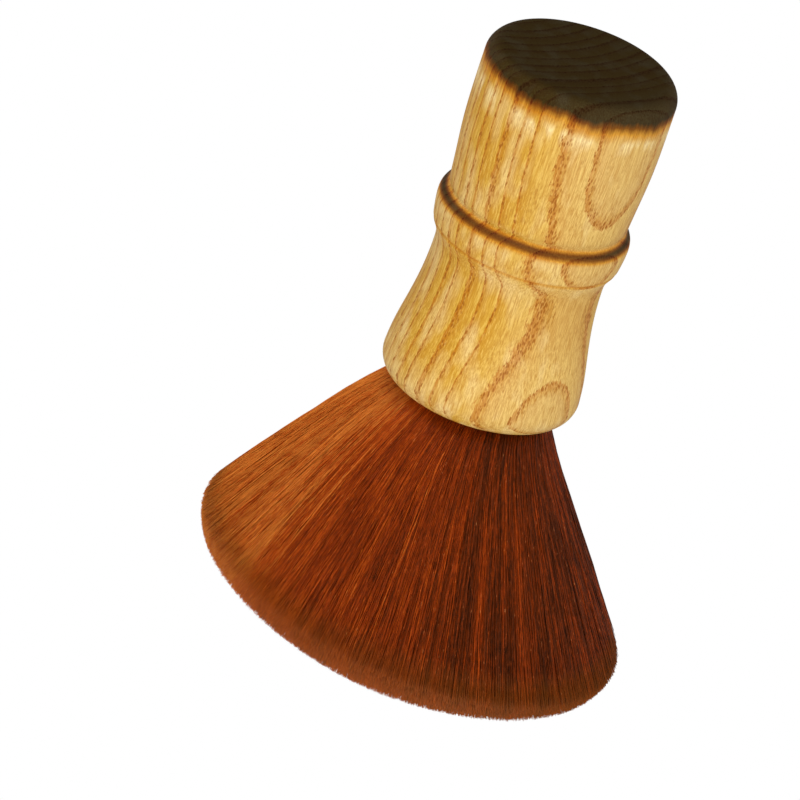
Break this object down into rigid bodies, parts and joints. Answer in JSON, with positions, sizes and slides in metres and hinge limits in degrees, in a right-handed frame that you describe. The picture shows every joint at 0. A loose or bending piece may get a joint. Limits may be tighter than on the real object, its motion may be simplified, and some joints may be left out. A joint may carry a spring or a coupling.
{
  "type": "neck duster brush",
  "caption": "Hand brush with a turned, waisted wooden handle and a wide domed fan of soft filaments, for brushing off loose hair or dust.",
  "frame": {"origin": "centre of the flat butt face that the brush stands on", "axes": "+Z along the handle from the butt to the bristle tips; X and Y are across the brush, which is round"},
  "size_m": [0.1118, 0.1118, 0.176],
  "materials": {
    "lacquered_ash": "turned ash with burnt rings and butt under clear lacquer",
    "adhesive": "cured two-part adhesive",
    "collar_plastic": "moulded plastic",
    "plug_resin": "cast resin",
    "waxed_cord": "waxed twine",
    "nylon_bristles": "fine tapered nylon filament"
  },
  "bodies": {
    "root": {"handle": "lacquered_ash", "socket_glue": "adhesive", "knot_collar": "collar_plastic", "root_plug": "plug_resin", "root_binding": "waxed_cord", "bristle_tuft": "nylon_bristles"}
  },
  "joints": []
}
